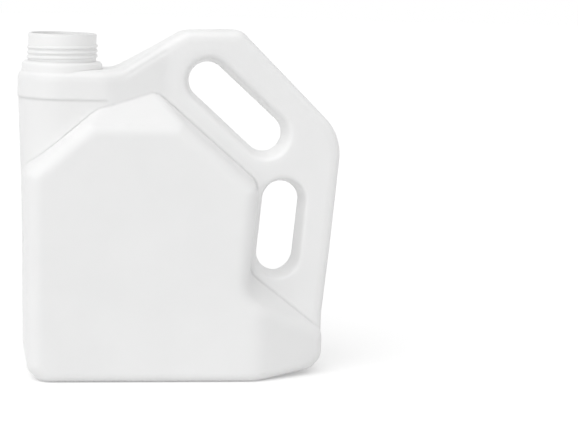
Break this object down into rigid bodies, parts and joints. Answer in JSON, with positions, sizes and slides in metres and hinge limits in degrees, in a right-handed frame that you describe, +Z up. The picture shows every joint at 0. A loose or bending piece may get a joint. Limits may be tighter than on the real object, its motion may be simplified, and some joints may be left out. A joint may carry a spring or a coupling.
{
  "type": "plastic jug",
  "caption": "Open blow-moulded jug with a threaded filler neck at one end and a hollow handle with finger windows at the other.",
  "frame": {"origin": "centre of the bounding box at the base, on the surface the jug stands on", "axes": "+X from the filler neck towards the handle, +Y through the jug from its front panel to its back panel, +Z up"},
  "size_m": [0.2802, 0.112, 0.2993],
  "materials": {
    "jug_plastic": "satin white blown polyethylene"
  },
  "bodies": {
    "root": {"jug": "jug_plastic"}
  },
  "joints": []
}
